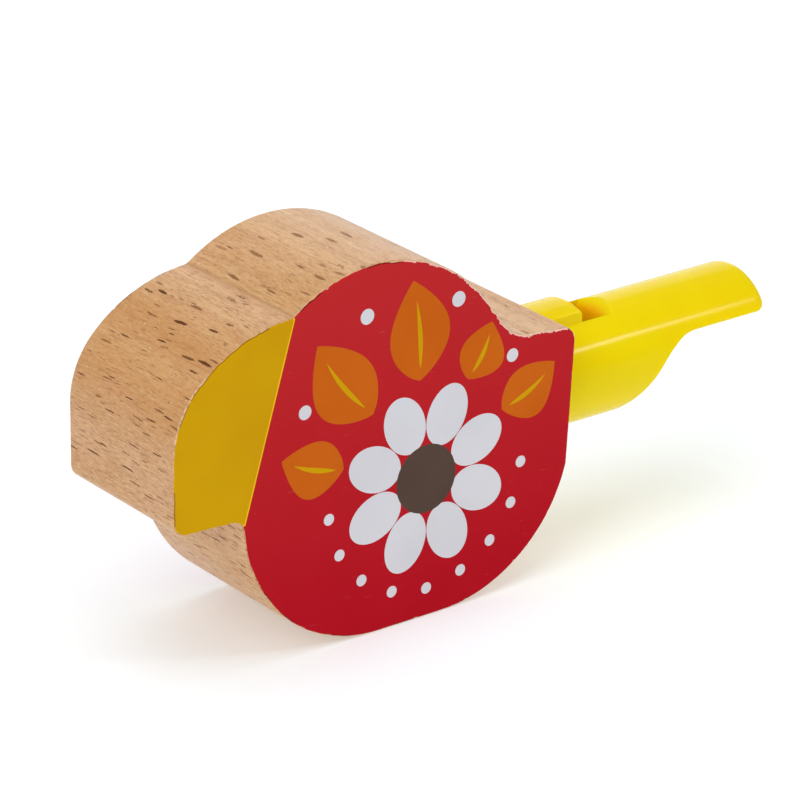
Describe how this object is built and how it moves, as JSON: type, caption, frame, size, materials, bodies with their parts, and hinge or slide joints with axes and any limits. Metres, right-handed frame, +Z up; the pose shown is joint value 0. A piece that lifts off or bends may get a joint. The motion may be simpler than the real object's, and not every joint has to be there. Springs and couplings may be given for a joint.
{
  "type": "bird call",
  "caption": "Bird-shaped beech block with printed flat sides and a yellow slide whistle in its tail: blow the mouthpiece and slide it in or out to bend the note.",
  "frame": {"origin": "middle of the flat base that the bird stands on", "axes": "+Z up, +X along the whistle axis from the beak towards the mouthpiece, printed flat sides face -Y and +Y"},
  "size_m": [0.1192, 0.028, 0.06],
  "materials": {
    "beech": "sanded smooth, clear matt lacquer",
    "print_red": "satin screen-printed ink",
    "yellow_plastic": "glossy moulded plastic",
    "liner_plastic": "natural moulded plastic",
    "felt": "pressed wool felt",
    "steel": "zinc-plated",
    "pad_rubber": "soft silicone"
  },
  "bodies": {
    "bird": {"wooden_body": "beech", "left_face_print": "print_red", "right_face_print": "print_red", "guide_sleeve": "liner_plastic", "slide_felt_ring": "felt", "rod_anchor_plug": "liner_plastic", "piston_rod": "steel", "piston_back_washer": "steel", "piston_pad": "pad_rubber", "piston_front_washer": "steel", "piston_screw": "steel"},
    "whistle": {"whistle_head": "yellow_plastic", "slide_tube": "yellow_plastic", "windway_block": "yellow_plastic"}
  },
  "joints": [
    {"name": "whistle_slide", "type": "slide", "parent": "bird", "child": "whistle", "axis": [1, 0, 0], "range_m": [0, 0.03]}
  ]
}
